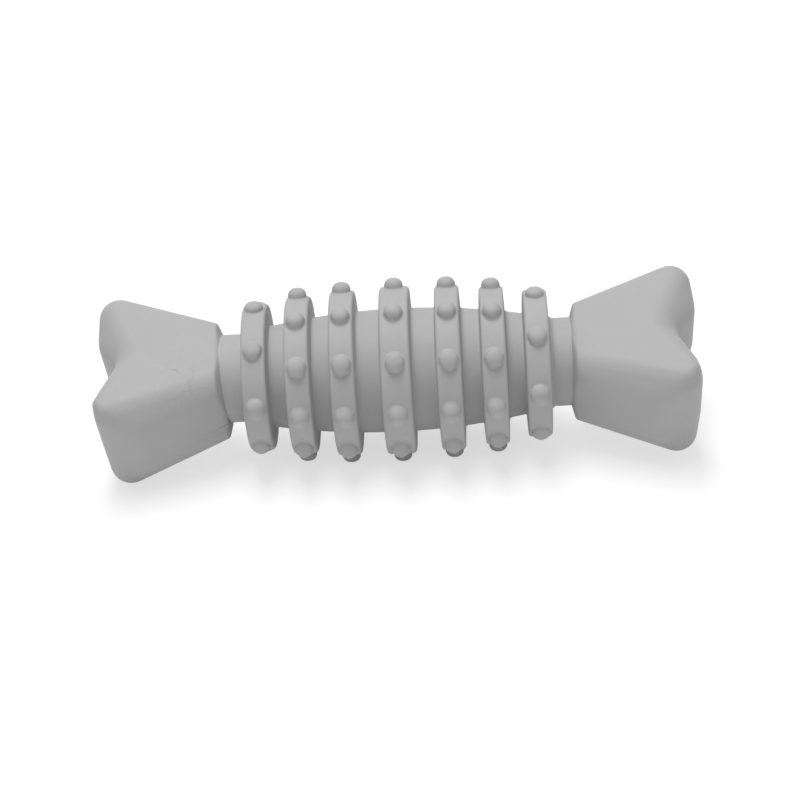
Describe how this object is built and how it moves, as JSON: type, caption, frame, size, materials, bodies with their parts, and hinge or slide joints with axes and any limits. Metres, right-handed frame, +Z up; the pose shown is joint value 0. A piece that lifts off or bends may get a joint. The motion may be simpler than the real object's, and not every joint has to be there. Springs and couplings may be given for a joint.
{
  "type": "rubber chew toy",
  "caption": "Bone-shaped rubber chew toy: an arched barrel shaft ringed with nubbed ribs, with a plain neck and a flared, two-lobed knuckle at each end.",
  "frame": {"origin": "on the ground under the middle ring, at the centre of the footprint of the toy as it lies on two neighbouring nubs of that ring", "axes": "+X along the bone to the right knuckle, +Z up; seen from -Y the left knuckle is at -X. The cheeks of the knuckles are turned 18 degrees towards -Y from level, as the toy lies"},
  "size_m": [0.1507, 0.047, 0.0449],
  "materials": {
    "grey_rubber": "matte"
  },
  "bodies": {
    "root": {"shaft": "grey_rubber", "left_knuckle": "grey_rubber", "right_knuckle": "grey_rubber", "ring_1": "grey_rubber", "ring_2": "grey_rubber", "ring_3": "grey_rubber", "ring_4": "grey_rubber", "ring_5": "grey_rubber", "ring_6": "grey_rubber", "ring_7": "grey_rubber", "ring_1_nubs": "grey_rubber", "ring_2_nubs": "grey_rubber", "ring_3_nubs": "grey_rubber", "ring_4_nubs": "grey_rubber", "ring_5_nubs": "grey_rubber", "ring_6_nubs": "grey_rubber", "ring_7_nubs": "grey_rubber"}
  },
  "joints": []
}
